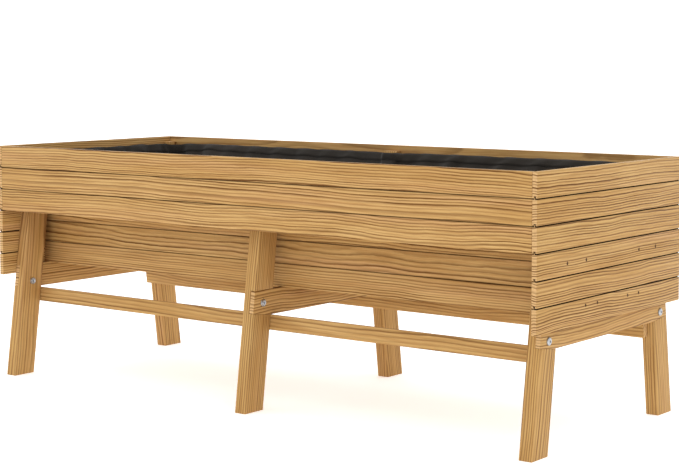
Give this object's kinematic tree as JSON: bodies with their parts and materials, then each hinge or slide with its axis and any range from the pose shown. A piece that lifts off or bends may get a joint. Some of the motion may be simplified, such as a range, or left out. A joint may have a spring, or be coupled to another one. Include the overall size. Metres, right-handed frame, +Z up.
{
  "type": "raised planter on legs",
  "caption": "Long wooden planter with a wide shallow box on a narrower trough, carried by splayed legs with cross rails and stretchers",
  "frame": {"origin": "on the ground, under the middle of the planter's outline", "axes": "+X along the length towards the right end, -Y towards the front, +Z up"},
  "size_m": [1.8, 0.726, 0.669],
  "materials": {
    "pine": "satin oiled softwood with open grain",
    "zinc": "bright zinc plate",
    "liner": "matt non-woven felt"
  },
  "bodies": {
    "root": {"front_board_top": "pine", "front_board_middle": "pine", "front_board_bottom": "pine", "front_trough_board_top": "pine", "front_trough_board_middle": "pine", "front_trough_board_bottom": "pine", "front_ledge_board": "pine", "front_stretcher": "pine", "front_middle_batten": "pine", "front_trough_batten": "pine", "front_leg_left": "pine", "front_leg_middle": "pine", "front_leg_right": "pine", "rear_board_top": "pine", "rear_board_middle": "pine", "rear_board_bottom": "pine", "rear_trough_board_top": "pine", "rear_trough_board_middle": "pine", "rear_trough_board_bottom": "pine", "rear_ledge_board": "pine", "rear_stretcher": "pine", "rear_middle_batten": "pine", "rear_trough_batten": "pine", "rear_leg_left": "pine", "rear_leg_middle": "pine", "rear_leg_right": "pine", "left_end_board_1": "pine", "left_end_board_2": "pine", "left_end_board_3": "pine", "left_end_board_4": "pine", "left_end_board_5": "pine", "left_end_board_6": "pine", "corner_batten_front_left": "pine", "corner_batten_rear_left": "pine", "trough_cleat_front_left": "pine", "trough_cleat_rear_left": "pine", "right_end_board_1": "pine", "right_end_board_2": "pine", "right_end_board_3": "pine", "right_end_board_4": "pine", "right_end_board_5": "pine", "right_end_board_6": "pine", "corner_batten_front_right": "pine", "corner_batten_rear_right": "pine", "trough_cleat_front_right": "pine", "trough_cleat_rear_right": "pine", "cross_rail_left": "pine", "cross_rail_middle": "pine", "cross_rail_right": "pine", "floor_board_1": "pine", "floor_board_2": "pine", "floor_board_3": "pine", "floor_board_4": "pine", "front_bolt_left": "zinc", "front_bolt_middle": "zinc", "front_bolt_right": "zinc", "rear_bolt_left": "zinc", "rear_bolt_middle": "zinc", "rear_bolt_right": "zinc", "fabric_liner": "liner"}
  },
  "joints": []
}
